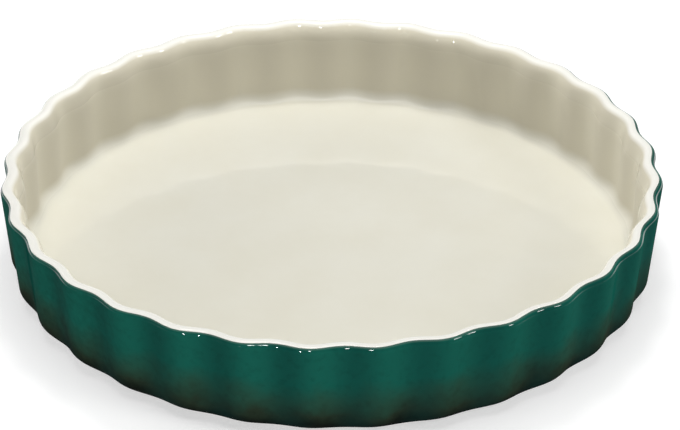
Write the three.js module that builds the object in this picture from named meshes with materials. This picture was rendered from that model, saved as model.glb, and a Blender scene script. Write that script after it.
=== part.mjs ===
// Fluted quiche dish in glazed stoneware: a one-piece fired clay body, a cream glaze coat
// that lines the inside and runs over the rim, a green glaze coat on the outside of the wall,
// and a green glazed panel under the base, inside the bare foot ring.
// Millimetres, +Z up. The foot ring stands on Z = 0 and the dish turns about the Z axis.
import * as THREE from "three";

// Driving dimensions, over the glaze
const RIM_DIAMETER = 280; // across opposite lobes of the rim
const HEIGHT = 45; // from the foot ring to the crest of the rim
const FLUTE_COUNT = 32;
const FLUTE_DEPTH = 2.2; // from lobe to groove, along the radius
const WALL_LEAN = THREE.MathUtils.degToRad(5.1); // of the outer face, outwards from upright
const INNER_LEAN = THREE.MathUtils.degToRad(0.5); // of the inner face, so the wall thickens upwards
const WALL_THICKNESS = 5.3; // along the radius, at the foot of the inner face
const FLOOR_THICKNESS = 5.3;
const GLAZE_THICKNESS = 0.5;

// Rim: a tight shoulder outside, and inside a tall, full lip that eases into the wall
const SHOULDER_RADIUS = 3;
const LIP_HEIGHT = 14;
const LIP_FULLNESS = 2.2; // exponent of the lip's curve: 2 is an ellipse, more is fuller
const COLOUR_LINE = THREE.MathUtils.degToRad(66); // where green meets cream, round the shoulder

// Corners at the bottom of the wall, where the flutes die out
const CORNER_INSET = 11.8; // outside, from the wall to the foot
const CORNER_HEIGHT = 10.2;
const FILLET_RADIUS = 5.5; // inside, between wall and floor

// Foot ring, which stays bare so that the dish doesn't stick to the kiln shelf
const FOOT_HEIGHT = 1.5; // from the table to the glazed panel
const FOOT_WIDTH = 5; // of the flat that touches the table
const FOOT_EDGE = 1; // of the bevel on each side of the flat, along the radius
const BARE_HEIGHT = 0.8; // from the table to the lower edge of the green glaze
const PANEL_MARGIN = 1.5; // bare clay between the ring and the glazed panel

// Facets
const STEPS_PER_FLUTE = 6;
const ARC_STEPS = 2; // along each corner of the section, and along the lip
const PANEL_SIDES = 96;

const QUARTER = Math.PI / 2;
const lobeRadius = RIM_DIAMETER / 2;
const floorTop = FOOT_HEIGHT + FLOOR_THICKNESS;
const panelTop = FOOT_HEIGHT + GLAZE_THICKNESS;

const clay = new THREE.MeshStandardMaterial({ color: 0xd9cdb8, roughness: 0.85, metalness: 0 });
const cream = new THREE.MeshStandardMaterial({ color: 0xe6e2d0, roughness: 0.15, metalness: 0 });
const green = new THREE.MeshStandardMaterial({ color: 0x14534a, roughness: 0.12, metalness: 0 });

// A point of the dish's section. The inset is its distance, along the radius, inside the leaning
// outer face of the wall. The flute is the share of the flute's depth that the point takes part in.
function sectionPoint(inset, z, flute) {
  const fall = HEIGHT - SHOULDER_RADIUS - z;
  const wall = lobeRadius - FLUTE_DEPTH / 2 - Math.tan(WALL_LEAN) * fall;
  return { r: wall - inset, z, flute };
}

// The points of a curve given by its angle, from one angle to another, both ends included
function sweep(from, to, steps, curve) {
  return Array.from({ length: steps + 1 }, (_, i) => curve(from + ((to - from) * i) / steps));
}

// Flutes fade from the wall to nothing along a bottom corner
const fade = (angle) => Math.cos(angle) ** 2;

const bottomCorner = (angle) =>
  sectionPoint(CORNER_INSET * (1 - Math.cos(angle)), CORNER_HEIGHT * (1 - Math.sin(angle)), fade(angle));

const shoulder = (angle) =>
  sectionPoint(SHOULDER_RADIUS * (1 - Math.cos(angle)), HEIGHT - SHOULDER_RADIUS * (1 - Math.sin(angle)), 1);

// Radius of the inner face of the wall
const wallFoot = floorTop + FILLET_RADIUS;
const innerRadius = (z) => sectionPoint(WALL_THICKNESS, wallFoot, 1).r + Math.tan(INNER_LEAN) * (z - wallFoot);

// The lip runs from the crest to the inner face
const lipWidth = shoulder(QUARTER).r - innerRadius(HEIGHT);
function lip(angle) {
  const power = 2 / LIP_FULLNESS;
  const z = HEIGHT - LIP_HEIGHT * (1 - Math.max(Math.cos(angle), 0) ** power);
  return { r: innerRadius(z) + lipWidth * (1 - Math.sin(angle) ** power), z, flute: 1 };
}

function fillet(angle) {
  const z = floorTop + FILLET_RADIUS * (1 - Math.sin(angle));
  return { r: innerRadius(z) - FILLET_RADIUS * (1 - Math.cos(angle)), z, flute: fade(angle) };
}

// The glazed face outside, from the bare foot up to the colour line
const glazeStop = Math.asin(1 - BARE_HEIGHT / CORNER_HEIGHT);
const outside = [...sweep(glazeStop, 0, ARC_STEPS, bottomCorner), shoulder(0), shoulder(COLOUR_LINE)];

// The glazed face inside, from the colour line over the crest and down to the middle of the floor
const inside = [
  shoulder(COLOUR_LINE),
  ...sweep(0, QUARTER, ARC_STEPS, lip),
  ...sweep(0, QUARTER, ARC_STEPS, fillet),
  { r: 0, z: floorTop, flute: 0 },
];

// The clay face, which lies under the glaze by its thickness, square to the section
function inset(face, depth) {
  return face.map((point, i) => {
    const before = face[Math.max(i - 1, 0)];
    const after = face[Math.min(i + 1, face.length - 1)];
    const along = new THREE.Vector2(after.r - before.r, after.z - before.z).normalize();
    const r = point.r === 0 ? 0 : point.r - along.y * depth;
    return { r, z: point.z + along.x * depth, flute: point.flute };
  });
}

const clayFace = inset([...outside, ...inside.slice(1)], GLAZE_THICKNESS);
const clayOutside = clayFace.slice(0, outside.length);
const clayInside = clayFace.slice(outside.length - 1);

// Turns a section about Z, with its outline anticlockwise as seen with the axis on the left, and moves
// each point in and out with the flutes. Two coats that share a face trace it in opposite directions,
// so each facet's diagonal is set by the heights of its ends: both coats then have the same facets.
function turn(outline, sides) {
  const rows = outline.length;
  const points = outline.map(({ r, z }) => new THREE.Vector2(r, z));
  const geometry = new THREE.LatheGeometry(points, sides).rotateX(QUARTER);
  const position = geometry.getAttribute("position");
  for (let i = 0; i < position.count; i++) {
    const { r, flute } = outline[i % rows];
    if (r === 0 || flute === 0) continue;
    const turnShare = (Math.floor(i / rows) % sides) / sides;
    const wave = Math.cos(2 * Math.PI * FLUTE_COUNT * turnShare);
    const stretch = 1 + (wave * flute * FLUTE_DEPTH) / 2 / r;
    position.setXY(i, position.getX(i) * stretch, position.getY(i) * stretch);
  }
  const facets = [];
  for (let side = 0; side < sides; side++) {
    for (let row = 0; row < rows - 1; row++) {
      const a = side * rows + row;
      const b = a + rows;
      const falls = (outline[row].z - outline[row + 1].z || outline[row].r - outline[row + 1].r) > 0;
      facets.push(...(falls ? [a, b, b + 1, a, b + 1, a + 1] : [a, b, a + 1, b + 1, a + 1, b]));
    }
  }
  return geometry.setIndex(facets);
}

function piece(name, geometry, material) {
  const mesh = new THREE.Mesh(geometry, material);
  mesh.name = name;
  return mesh;
}

const closed = (outline) => [...outline, outline[0]];
const flutedSides = FLUTE_COUNT * STEPS_PER_FLUTE;

// Foot ring: from the underside of the floor, down to the flat and out to the glaze's lower edge
const flatOuter = clayOutside[0].r - FOOT_EDGE;
const flatInner = flatOuter - FOOT_WIDTH;
const ringInner = flatInner - FOOT_EDGE;
const foot = [
  { r: 0, z: panelTop, flute: 0 },
  { r: ringInner, z: panelTop, flute: 0 },
  { r: flatInner, z: 0, flute: 0 },
  { r: flatOuter, z: 0, flute: 0 },
];

const stonewareBody = turn([...foot, ...clayOutside, ...clayInside.slice(1)], flutedSides);
const liningGlaze = turn(closed([...inside, ...clayInside.toReversed()]), flutedSides);
const wallGlaze = turn(closed([...outside, ...clayOutside.toReversed()]), flutedSides);

// The panel's edge is drawn in by the glaze's own thickness, as a coat thins out
const panelRadius = ringInner - PANEL_MARGIN;
const panel = [
  { r: 0, z: FOOT_HEIGHT, flute: 0 },
  { r: panelRadius - GLAZE_THICKNESS, z: FOOT_HEIGHT, flute: 0 },
  { r: panelRadius, z: panelTop, flute: 0 },
  { r: 0, z: panelTop, flute: 0 },
];

const dish = new THREE.Group();
dish.add(
  piece("stoneware_body", stonewareBody, clay),
  piece("lining_glaze", liningGlaze, cream),
  piece("wall_glaze", wallGlaze, green),
  piece("base_glaze", turn(panel, PANEL_SIDES), green),
);

export default dish;
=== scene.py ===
"""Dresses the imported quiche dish: fine clay and glaze meshes, procedural glazes, soft studio light."""
import math

import bmesh
import bpy
from mathutils import Matrix, Vector


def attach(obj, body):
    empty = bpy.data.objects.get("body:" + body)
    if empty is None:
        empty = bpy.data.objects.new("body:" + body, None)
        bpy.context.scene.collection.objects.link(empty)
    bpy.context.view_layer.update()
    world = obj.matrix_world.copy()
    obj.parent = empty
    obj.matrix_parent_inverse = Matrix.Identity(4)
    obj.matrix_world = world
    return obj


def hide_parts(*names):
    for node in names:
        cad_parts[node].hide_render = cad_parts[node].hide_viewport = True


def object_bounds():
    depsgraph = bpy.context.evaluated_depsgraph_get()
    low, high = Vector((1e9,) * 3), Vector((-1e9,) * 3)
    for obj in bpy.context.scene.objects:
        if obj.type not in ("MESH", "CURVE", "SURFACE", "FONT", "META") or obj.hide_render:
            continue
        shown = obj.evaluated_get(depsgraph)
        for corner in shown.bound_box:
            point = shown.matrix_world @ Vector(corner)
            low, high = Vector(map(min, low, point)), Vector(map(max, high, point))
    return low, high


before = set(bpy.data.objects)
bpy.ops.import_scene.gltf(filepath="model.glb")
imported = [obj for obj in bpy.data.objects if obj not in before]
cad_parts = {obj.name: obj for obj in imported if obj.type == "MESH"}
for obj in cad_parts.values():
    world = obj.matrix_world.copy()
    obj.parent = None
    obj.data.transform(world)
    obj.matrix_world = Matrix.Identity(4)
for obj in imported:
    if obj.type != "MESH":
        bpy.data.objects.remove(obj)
cad_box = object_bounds()

MM = 0.001
QUARTER = math.pi / 2

# Section of the dish in metres, as in the part's source. The rim and the height come from the frame.
LOBE_RADIUS = cad_box[1][0]
HEIGHT = cad_box[1][2]
FLUTE_COUNT = 32
FLUTE_DEPTH = 2.2 * MM  # from lobe to groove, along the radius
WALL_LEAN = math.radians(5.1)
INNER_LEAN = math.radians(0.5)
WALL_THICKNESS = 5.3 * MM  # along the radius, at the foot of the inner face
FLOOR_THICKNESS = 5.3 * MM
GLAZE_THICKNESS = 0.5 * MM
SHOULDER_RADIUS = 3 * MM
LIP_HEIGHT = 14 * MM
LIP_FULLNESS = 2.2  # exponent of the lip's curve: 2 is an ellipse, more is fuller
COLOUR_LINE = math.radians(66)  # where green meets cream, round the shoulder
CORNER_INSET = 11.8 * MM  # of the bottom corner outside, from the wall to the foot
CORNER_HEIGHT = 10.2 * MM
FILLET_RADIUS = 5.5 * MM
FOOT_HEIGHT = 1.5 * MM
FOOT_WIDTH = 5 * MM
FOOT_EDGE = 1 * MM
BARE_HEIGHT = 0.8 * MM  # from the table to the lower edge of the green glaze
PANEL_MARGIN = 1.5 * MM  # bare clay between the foot ring and the glazed panel

# The shoulder's curve bulges a hair past the end of the leaning wall
SHOULDER_BULGE = SHOULDER_RADIUS * (1 / math.cos(WALL_LEAN) - 1)
FLOOR_TOP = FOOT_HEIGHT + FLOOR_THICKNESS
PANEL_TOP = FOOT_HEIGHT + GLAZE_THICKNESS

# The glazes are dipped by hand, so their edges drift: how often round the dish, how far, and from where
COLOUR_DRIFT = ((0, math.radians(-7), 0), (1, math.radians(12), 0), (5, math.radians(1.2), 0.4))
BARE_DRIFT = ((3, 0.12 * MM, 0.9), (11, 0.08 * MM, 3.3), (23, 0.05 * MM, 1.7))

# Fineness of the meshes
STEPS_PER_FLUTE = 20
SIDES = FLUTE_COUNT * STEPS_PER_FLUTE
ARC_STEPS = 10
CREST_STEPS = 4
LIP_STEPS = 20
FACE_STEPS = 6
FLOOR_STEPS = 16

# Soft noise keeps mostly to this span
NOISE_LOW, NOISE_HIGH = 0.3, 0.7

# Camera, fitted to the photograph in pixels of its 680 by 430 frame, and aimed by the middle of the rim
FRAME_WIDTH, FRAME_HEIGHT = 680, 430
AIM_X, AIM_Y = 331.7, 166.9
PIXELS_PER_METRE = 2359
VIEW_DISTANCE = 1.241
VIEW_ELEVATION = math.radians(31.0)
VIEW_AZIMUTH = math.radians(3.47)
VIEW_ROLL = math.radians(0.33)
VIEW_REACH = 50
SENSOR_MM = 36

# The floor glows only for the camera and in mirrors, which makes it white without lighting the dish
FLOOR_REACH = 8
FLOOR_GREY = 0.58
FLOOR_GLOW = 0.56

# Lamps. A sun has its lean from the zenith, its turn from +X and its width, all in degrees, then its
# strength, and whether the glazes mirror it.
WORLD_STRENGTH = 0.02
KEY_PLACE = (0, 0.24, 0.8)
KEY_WIDTH = 0.25
KEY_POWER = 2.75
SUNS = (
    ("overhead", 2, 270, 38, 1.2, True),
    ("right fill", 75, 30, 24, 0.6, False),
    ("left fill", 75, 153, 24, 1.15, False),
    ("front wash", 89.2, 276, 1.6, 1.45, False),
    ("right wash", 89.2, 38, 1.6, 0.9, False),
    ("left wash", 89.2, 125, 1.6, 0.9, False),
    ("front glint", 54, 270, 8, 0.27, True),
    ("right glint", 54, 340, 12, 0.4, True),
    ("lip glint", 75, 248, 2, 0.24, True),
)


def section_point(inset, z, flute):
    """A point of the section: its radius, its height and its share of the flutes' depth.

    The inset is its distance, along the radius, inside the leaning outer face of the wall.
    """
    fall = HEIGHT - SHOULDER_RADIUS - z
    wall = LOBE_RADIUS - SHOULDER_BULGE - FLUTE_DEPTH / 2 - math.tan(WALL_LEAN) * fall
    return wall - inset, z, flute


def sweep(start, end, steps, curve):
    """Points of a curve from one angle to another, both ends included."""
    return [curve(start + (end - start) * i / steps) for i in range(steps + 1)]


def straight(start, end, steps):
    """Points between two others, without those two."""
    return [tuple(a + (b - a) * i / steps for a, b in zip(start, end)) for i in range(1, steps)]


def drift(turn, waves):
    return sum(size * math.cos(count * turn - start) for count, size, start in waves)


def fade(angle):
    """Share of the flutes along a bottom corner, from all at the wall to none."""
    return math.cos(angle) ** 2


def bottom_corner(angle):
    inset = CORNER_INSET * (1 - math.cos(angle))
    return section_point(inset, CORNER_HEIGHT * (1 - math.sin(angle)), fade(angle))


def shoulder(angle):
    inset = SHOULDER_RADIUS * (1 - math.cos(angle))
    return section_point(inset, HEIGHT - SHOULDER_RADIUS * (1 - math.sin(angle)), 1)


def inner_radius(z):
    """Radius of the inner face of the wall, which leans less than the outer one."""
    wall_foot = FLOOR_TOP + FILLET_RADIUS
    return section_point(WALL_THICKNESS, wall_foot, 1)[0] + math.tan(INNER_LEAN) * (z - wall_foot)


def lip(angle):
    power = 2 / LIP_FULLNESS
    width = shoulder(QUARTER)[0] - inner_radius(HEIGHT)
    z = HEIGHT - LIP_HEIGHT * (1 - max(math.cos(angle), 0) ** power)
    return inner_radius(z) + width * (1 - math.sin(angle) ** power), z, 1


def fillet(angle):
    z = FLOOR_TOP + FILLET_RADIUS * (1 - math.sin(angle))
    return inner_radius(z) - FILLET_RADIUS * (1 - math.cos(angle)), z, fade(angle)


def glaze_stop(bare_height):
    """Angle of the bottom corner at a height above the table."""
    return math.asin(1 - bare_height / CORNER_HEIGHT)


def under_glaze(face):
    """The clay under a glazed face, square to the section."""
    clay = []
    for i, (r, z, flute) in enumerate(face):
        before, after = face[max(i - 1, 0)], face[min(i + 1, len(face) - 1)]
        along = Vector((after[0] - before[0], after[1] - before[1])).normalized()
        clay.append((r - along.y * GLAZE_THICKNESS if r else 0, z + along.x * GLAZE_THICKNESS, flute))
    return clay


# Flat of the foot ring, from where the clay would meet the glaze without its drift
flat_outer = under_glaze(sweep(glaze_stop(BARE_HEIGHT), 0, ARC_STEPS, bottom_corner))[0][0] - FOOT_EDGE
flat_inner = flat_outer - FOOT_WIDTH
ring_inner = flat_inner - FOOT_EDGE
panel_radius = ring_inner - PANEL_MARGIN


def outlines(turn):
    """The closed outline of each piece where the section stands at a turn about Z."""
    line = COLOUR_LINE + drift(turn, COLOUR_DRIFT)
    stop = glaze_stop(BARE_HEIGHT + drift(turn, BARE_DRIFT))
    outside = sweep(stop, 0, ARC_STEPS, bottom_corner)
    outside += straight(outside[-1], shoulder(0), FACE_STEPS)
    outside += sweep(0, line, ARC_STEPS, shoulder)
    inside = sweep(line, QUARTER, CREST_STEPS, shoulder) + sweep(0, QUARTER, LIP_STEPS, lip)[1:]
    inside += straight(inside[-1], fillet(0), FACE_STEPS)
    inside += sweep(0, QUARTER, ARC_STEPS, fillet)
    inside += straight(inside[-1], (0, FLOOR_TOP, 0), FLOOR_STEPS) + [(0, FLOOR_TOP, 0)]
    clay_face = under_glaze(outside + inside[1:])
    clay_outside, clay_inside = clay_face[:len(outside)], clay_face[len(outside) - 1:]
    foot = [(0, PANEL_TOP, 0), (ring_inner, PANEL_TOP, 0), (flat_inner, 0, 0), (flat_outer, 0, 0)]
    panel = [
        (0, FOOT_HEIGHT, 0),
        (panel_radius - GLAZE_THICKNESS, FOOT_HEIGHT, 0),
        (panel_radius, PANEL_TOP, 0),
        (0, PANEL_TOP, 0),
    ]
    return {
        "clay_dish": foot + clay_outside + clay_inside[1:],
        "cream_lining": inside + clay_inside[::-1],
        "green_wall_coat": outside + clay_outside[::-1],
        "green_base_panel": panel,
    }


turns = [2 * math.pi * side / SIDES for side in range(SIDES)]
sections = [outlines(turn) for turn in turns]


def turned(name):
    """A mesh turned about Z from the outlines of a piece, fluted. A radius of 0 makes a pole."""
    bm = bmesh.new()
    rings = []
    for row, (first_radius, first_z, _) in enumerate(sections[0][name]):
        if first_radius == 0:
            rings.append([bm.verts.new((0, 0, first_z))] * SIDES)
            continue
        ring = []
        for turn, section in zip(turns, sections):
            r, z, flute = section[name][row]
            radius = r + flute * FLUTE_DEPTH / 2 * math.cos(FLUTE_COUNT * turn)
            ring.append(bm.verts.new((radius * math.cos(turn), radius * math.sin(turn), z)))
        rings.append(ring)
    for low, high in zip(rings, rings[1:] + rings[:1]):
        for side in range(SIDES):
            after = (side + 1) % SIDES
            corners = list(dict.fromkeys((low[side], low[after], high[after], high[side])))
            if len(corners) > 2:
                bm.faces.new(corners)
    mesh = bpy.data.meshes.new(name)
    bm.to_mesh(mesh)
    bm.free()
    for polygon in mesh.polygons:
        polygon.use_smooth = True
    piece = bpy.data.objects.new(name, mesh)
    bpy.context.collection.objects.link(piece)
    return piece


class Look:
    """A procedural material. Each call adds nodes and gives back an output. A colour is linear RGB."""

    def __init__(self, name):
        self.material = bpy.data.materials.new(name)
        self.material.use_nodes = True
        self.nodes = self.material.node_tree.nodes
        self.shader = self.nodes["Principled BSDF"]
        self.place = self.nodes.new("ShaderNodeTexCoord").outputs["Object"]

    def put(self, socket, value):
        """Links an output to a socket, or sets the socket to a number or a colour."""
        if isinstance(value, bpy.types.NodeSocket):
            self.material.node_tree.links.new(value, socket)
        else:
            socket.default_value = (*value, 1) if isinstance(value, tuple) else value

    def shade(self, **values):
        """Sets the shader's sockets, with their names in small letters and underscores."""
        names = {socket.name.lower().replace(" ", "_"): socket for socket in self.shader.inputs}
        for name, value in values.items():
            self.put(names[name], value)

    def maths(self, operation, *values):
        node = self.nodes.new("ShaderNodeMath")
        node.operation = operation
        for socket, value in zip(node.inputs, values):
            self.put(socket, value)
        return node.outputs["Value"]

    def axes(self):
        node = self.nodes.new("ShaderNodeSeparateXYZ")
        self.put(node.inputs["Vector"], self.place)
        return node.outputs

    def noise(self, size, detail=2):
        """Soft noise about 0.5, in blobs of the given size."""
        node = self.nodes.new("ShaderNodeTexNoise")
        self.put(node.inputs["Vector"], self.place)
        self.put(node.inputs["Scale"], 1 / size)
        self.put(node.inputs["Detail"], detail)
        return node.outputs["Fac"]

    def span(self, value, start, end, low=0.0, high=1.0):
        """Carries a value from one span to another, and holds it at the ends."""
        node = self.nodes.new("ShaderNodeMapRange")
        for socket, number in zip(node.inputs, (value, start, end, low, high)):
            self.put(socket, number)
        return node.outputs["Result"]

    def vary(self, size, low, high, detail=2):
        """Noise carried to between two values."""
        return self.span(self.noise(size, detail), NOISE_LOW, NOISE_HIGH, low, high)

    def ramp(self, value, stops):
        """A colour from a value, between stops of a value and a colour."""
        node = self.nodes.new("ShaderNodeValToRGB")
        self.put(node.inputs["Fac"], value)
        elements = node.color_ramp.elements
        while len(elements) < len(stops):
            elements.new(0.5)
        for element, (place, colour) in zip(elements, stops):
            element.position = place
            element.color = (*colour, 1)
        return node.outputs["Color"]

    def clouds(self, size, first, second, detail=3):
        """Soft clouds between two colours."""
        return self.ramp(self.noise(size, detail), ((NOISE_LOW, first), (NOISE_HIGH, second)))

    def mix(self, share, first, second, blend="MIX"):
        node = self.nodes.new("ShaderNodeMix")
        node.data_type = "RGBA"
        node.blend_type = blend
        colours = [socket for socket in node.inputs if socket.type == "RGBA"]
        self.put(node.inputs["Factor"], share)
        for socket, colour in zip(colours, (first, second)):
            self.put(socket, colour)
        return [socket for socket in node.outputs if socket.type == "RGBA"][0]

    def flutes(self, x, y, shift=0):
        """From 0 in a groove of the wall to 1 on a lobe, or shifted by an angle of the flutes' wave."""
        turn = self.maths("ARCTAN2", y, x)
        phase = self.maths("SUBTRACT", self.maths("MULTIPLY", turn, FLUTE_COUNT), shift)
        return self.span(self.maths("COSINE", phase), -1, 1)

    def bump(self, height, depth, under=None):
        node = self.nodes.new("ShaderNodeBump")
        self.put(node.inputs["Height"], height)
        self.put(node.inputs["Distance"], depth)
        if under is not None:
            self.put(node.inputs["Normal"], under)
        return node.outputs["Normal"]

    def waves(self, size, depth, grain, grain_depth):
        """Slow waves over a fine grain in the surface."""
        return self.bump(self.noise(size, 1), depth, self.bump(self.noise(grain), grain_depth))


def cream_glaze():
    """Glossy cream, cloudy on the floor, duller and browner up the wall with painted shade, and paler over
    the crest as a painted highlight.
    """
    look = Look("cream_glaze")
    # The wall's colours are darker and browner than the floor's, partly the glaze's tone and partly painted
    # shade; darker in the grooves and lighter on the lobes, they paint shade and light along the flutes
    groove, lobe = (0.67, 0.63, 0.515), (0.73, 0.69, 0.565)
    # Paler cream over the crest: a painted highlight
    crest = (0.89, 0.88, 0.82)
    smooth, dull = 0.06, 0.45
    x, y, z = look.axes()
    floor = look.clouds(28 * MM, (0.785, 0.765, 0.66), (0.81, 0.795, 0.7))
    rise = look.span(z, FLOOR_TOP + MM, FLOOR_TOP + FILLET_RADIUS)
    # The floor's colour rising into the wall's, which carries the painted shade along the flutes
    thin = look.mix(rise, floor, look.mix(look.flutes(x, y), groove, lobe))
    crest_highlight_share = look.span(z, HEIGHT - 2.2 * MM, HEIGHT - 0.6 * MM)
    wall_share = look.span(z, FLOOR_TOP + 0.05 * MM, FLOOR_TOP + 2 * MM)
    lip_share = look.span(z, HEIGHT - LIP_HEIGHT * 0.75, HEIGHT - LIP_HEIGHT * 0.4)
    steep = look.maths("SUBTRACT", wall_share, lip_share)
    look.shade(
        base_color=look.mix(crest_highlight_share, thin, crest),
        roughness=look.span(steep, 0, 1, smooth, dull),
        normal=look.waves(4 * MM, 0.03 * MM, grain=0.7 * MM, grain_depth=0.004 * MM),
    )
    return look.material


def green_colour(look):
    """Green by height with cloudy edges, darkened by painted shade on one flank of each lobe and on the far
    left side, pale at its upper edge.
    """
    # Darker towards the foot, olive and then nearly black: partly the glaze's own tone, partly painted
    # shade at the foot
    by_height = (
        (0.02, (0.001, 0.0015, 0.001)),
        (0.12, (0.006, 0.0095, 0.006)),
        (0.24, (0.018, 0.03, 0.018)),
        (0.4, (0.017, 0.066, 0.044)),
        (0.62, (0.0065, 0.1, 0.0735)),
    )
    # One flank of each lobe is darkened: painted shade
    painted_flank_shade, flank_shade_share, flank_shade_shift = (0.001, 0.0275, 0.025), 0.46, 1.2
    pale, pale_share, pale_width = (0.15, 0.21, 0.175), 0.4, 0.5 * MM
    # The far left side of the dish is darkened: painted shade
    far_left_shade = 0.75
    x, y, z = look.axes()
    cloud = look.span(look.noise(14 * MM, 3), 0.25, 0.75, -4 * MM, 4 * MM)
    level = look.span(look.maths("ADD", z, cloud), 0, HEIGHT)
    lobe = look.flutes(x, y, flank_shade_shift)
    flank_shaded = look.mix(look.span(lobe, 0, 1, flank_shade_share, 0), look.ramp(level, by_height), painted_flank_shade)
    side = look.maths("COSINE", look.maths("ARCTAN2", y, x))
    mottle = look.vary(3 * MM, 0.88, 1.12, detail=4)
    # Random mottle, times the painted shade on the far left
    shade = look.maths("MULTIPLY", mottle, look.span(side, -1, -0.5, far_left_shade, 1))
    mottle_and_left_shade = look.ramp(shade, ((0, (0, 0, 0)), (1, (1, 1, 1))))
    mottled_and_shaded = look.mix(1, flank_shaded, mottle_and_left_shade, "MULTIPLY")
    line = look.span(side, -1, 1, HEIGHT - 0.9 * MM, HEIGHT - 0.2 * MM)
    below = look.maths("SUBTRACT", line, z)
    return look.mix(look.span(below, 0, pale_width, pale_share, 0), mottled_and_shaded, pale)


def green_glaze():
    """Dark green, olive and then nearly black towards the foot, partly painted shade, with a glossy bead on
    the shoulder.
    """
    look = Look("green_glaze")
    z = look.axes()["Z"]
    bead = look.span(z, HEIGHT - 1.9 * MM, HEIGHT - 1.5 * MM, 0.02, 1)
    above = look.span(z, HEIGHT - 1.1 * MM, HEIGHT - 0.8 * MM, 0, 0.9)
    waves = look.waves(3 * MM, 0.04 * MM, grain=0.6 * MM, grain_depth=0.005 * MM)
    look.shade(
        base_color=green_colour(look),
        roughness=look.vary(7 * MM, 0.25, 0.35),
        specular_ior_level=0.0,
        coat_weight=look.maths("SUBTRACT", bead, above),
        coat_roughness=0.05,
        coat_ior=1.9,
        normal=waves,
        coat_normal=waves,
    )
    return look.material


def green_base_glaze():
    """Cloudy green under the floor, thin and brown at its edge."""
    look = Look("green_base_glaze")
    brown, brown_width = (0.06, 0.07, 0.03), 3 * MM
    x, y, _ = look.axes()
    squares = look.maths("ADD", look.maths("MULTIPLY", x, x), look.maths("MULTIPLY", y, y))
    radius = look.maths("ADD", look.maths("SQRT", squares), look.span(look.noise(5 * MM), 0, 1, -MM, MM))
    edge = look.span(radius, panel_radius - brown_width, panel_radius - GLAZE_THICKNESS)
    green = look.clouds(22 * MM, (0.005, 0.085, 0.065), (0.008, 0.12, 0.09), detail=4)
    look.shade(
        base_color=look.mix(edge, green, brown),
        roughness=look.vary(7 * MM, 0.08, 0.18),
        specular_ior_level=0.04,
        normal=look.bump(look.noise(4 * MM, 1), 0.06 * MM),
    )
    return look.material


def bare_clay():
    """Fired stoneware: sandy, with fine dark grains."""
    look = Look("bare_clay")
    dark = (0.3, 0.22, 0.14)
    sand = look.clouds(6 * MM, (0.52, 0.43, 0.31), (0.62, 0.52, 0.39))
    grains = look.span(look.noise(0.5 * MM), 0.58, 0.66)
    look.shade(
        base_color=look.mix(grains, sand, dark),
        roughness=look.vary(2 * MM, 0.78, 0.95),
        normal=look.bump(look.noise(0.4 * MM, 3), 0.05 * MM),
    )
    return look.material


dressing = {
    "stoneware_body": ("clay_dish", bare_clay),
    "lining_glaze": ("cream_lining", cream_glaze),
    "wall_glaze": ("green_wall_coat", green_glaze),
    "base_glaze": ("green_base_panel", green_base_glaze),
}
for node, (name, look) in dressing.items():
    piece = turned(name)
    piece.data.materials.append(look())
    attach(piece, "root")
    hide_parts(node)


def add_camera():
    """Looks along the fitted direction, with the middle of the rim at its fitted place in the frame."""
    back = Vector((
        math.sin(VIEW_AZIMUTH) * math.cos(VIEW_ELEVATION),
        -math.cos(VIEW_AZIMUTH) * math.cos(VIEW_ELEVATION),
        math.sin(VIEW_ELEVATION),
    ))
    right = Vector((math.cos(VIEW_AZIMUTH), math.sin(VIEW_AZIMUTH), 0))
    up = back.cross(right)
    side_step = (AIM_X - FRAME_WIDTH / 2) / PIXELS_PER_METRE
    up_step = (FRAME_HEIGHT / 2 - AIM_Y) / PIXELS_PER_METRE
    eye = Vector((0, 0, HEIGHT)) + back * VIEW_DISTANCE - right * side_step - up * up_step
    rolled_right = right * math.cos(VIEW_ROLL) + up * math.sin(VIEW_ROLL)
    rolled_up = up * math.cos(VIEW_ROLL) - right * math.sin(VIEW_ROLL)
    data = bpy.data.cameras.new("camera")
    data.sensor_width = SENSOR_MM
    data.lens = PIXELS_PER_METRE * VIEW_DISTANCE / FRAME_WIDTH * SENSOR_MM
    data.clip_end = VIEW_REACH
    camera = bpy.data.objects.new("camera", data)
    turn = Matrix((rolled_right, rolled_up, back)).transposed().to_4x4()
    camera.matrix_world = Matrix.Translation(eye) @ turn
    bpy.context.collection.objects.link(camera)
    bpy.context.scene.camera = camera


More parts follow.
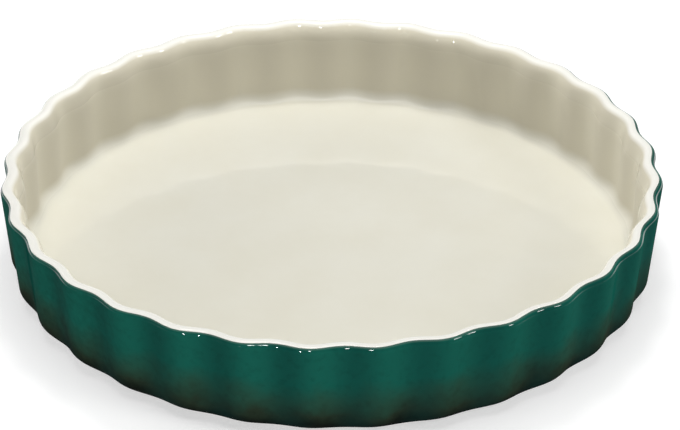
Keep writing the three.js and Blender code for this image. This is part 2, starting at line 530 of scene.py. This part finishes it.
def add_floor():
    reach = FLOOR_REACH
    corners = [(-reach, -reach, 0), (reach, -reach, 0), (reach, reach, 0), (-reach, reach, 0)]
    mesh = bpy.data.meshes.new("floor")
    mesh.from_pydata(corners, [], [(0, 1, 2, 3)])
    floor = bpy.data.objects.new("floor", mesh)
    bpy.context.collection.objects.link(floor)
    look = Look("white_floor")
    path = look.nodes.new("ShaderNodeLightPath").outputs
    seen = look.maths("ADD", path["Is Camera Ray"], path["Is Glossy Ray"])
    seen = look.maths("ADD", seen, path["Is Transmission Ray"])
    look.shade(
        base_color=(FLOOR_GREY, FLOOR_GREY, FLOOR_GREY),
        roughness=1,
        specular_ior_level=0,
        emission_color=(1, 1, 1),
        emission_strength=look.maths("MULTIPLY", look.maths("MINIMUM", seen, 1), FLOOR_GLOW),
    )
    floor.data.materials.append(look.material)


def add_world():
    world = bpy.data.worlds.new("studio")
    bpy.context.scene.world = world
    world.use_nodes = True
    background = world.node_tree.nodes["Background"]
    background.inputs["Color"].default_value = (1, 1, 1, 1)
    background.inputs["Strength"].default_value = WORLD_STRENGTH


def add_key_lamp():
    """A round lamp over the far side of the dish that looks straight down."""
    data = bpy.data.lights.new("key", "AREA")
    data.shape = "DISK"
    data.size = KEY_WIDTH
    data.energy = KEY_POWER
    lamp = bpy.data.objects.new("key", data)
    lamp.location = KEY_PLACE
    lamp.visible_glossy = False
    bpy.context.collection.objects.link(lamp)


def add_sun(name, lean, turn, width, strength, mirrored):
    data = bpy.data.lights.new(name, "SUN")
    data.energy = strength
    data.angle = width
    sun = bpy.data.objects.new(name, data)
    aim = Vector((-math.sin(lean) * math.cos(turn), -math.sin(lean) * math.sin(turn), -math.cos(lean)))
    sun.rotation_euler = aim.to_track_quat("-Z", "Y").to_euler()
    sun.visible_glossy = mirrored
    bpy.context.collection.objects.link(sun)


add_camera()
add_floor()
add_world()
add_key_lamp()
for name, lean, turn, width, strength, mirrored in SUNS:
    add_sun(name, math.radians(lean), math.radians(turn), math.radians(width), strength, mirrored)
bpy.context.scene.view_settings.view_transform = "Standard"
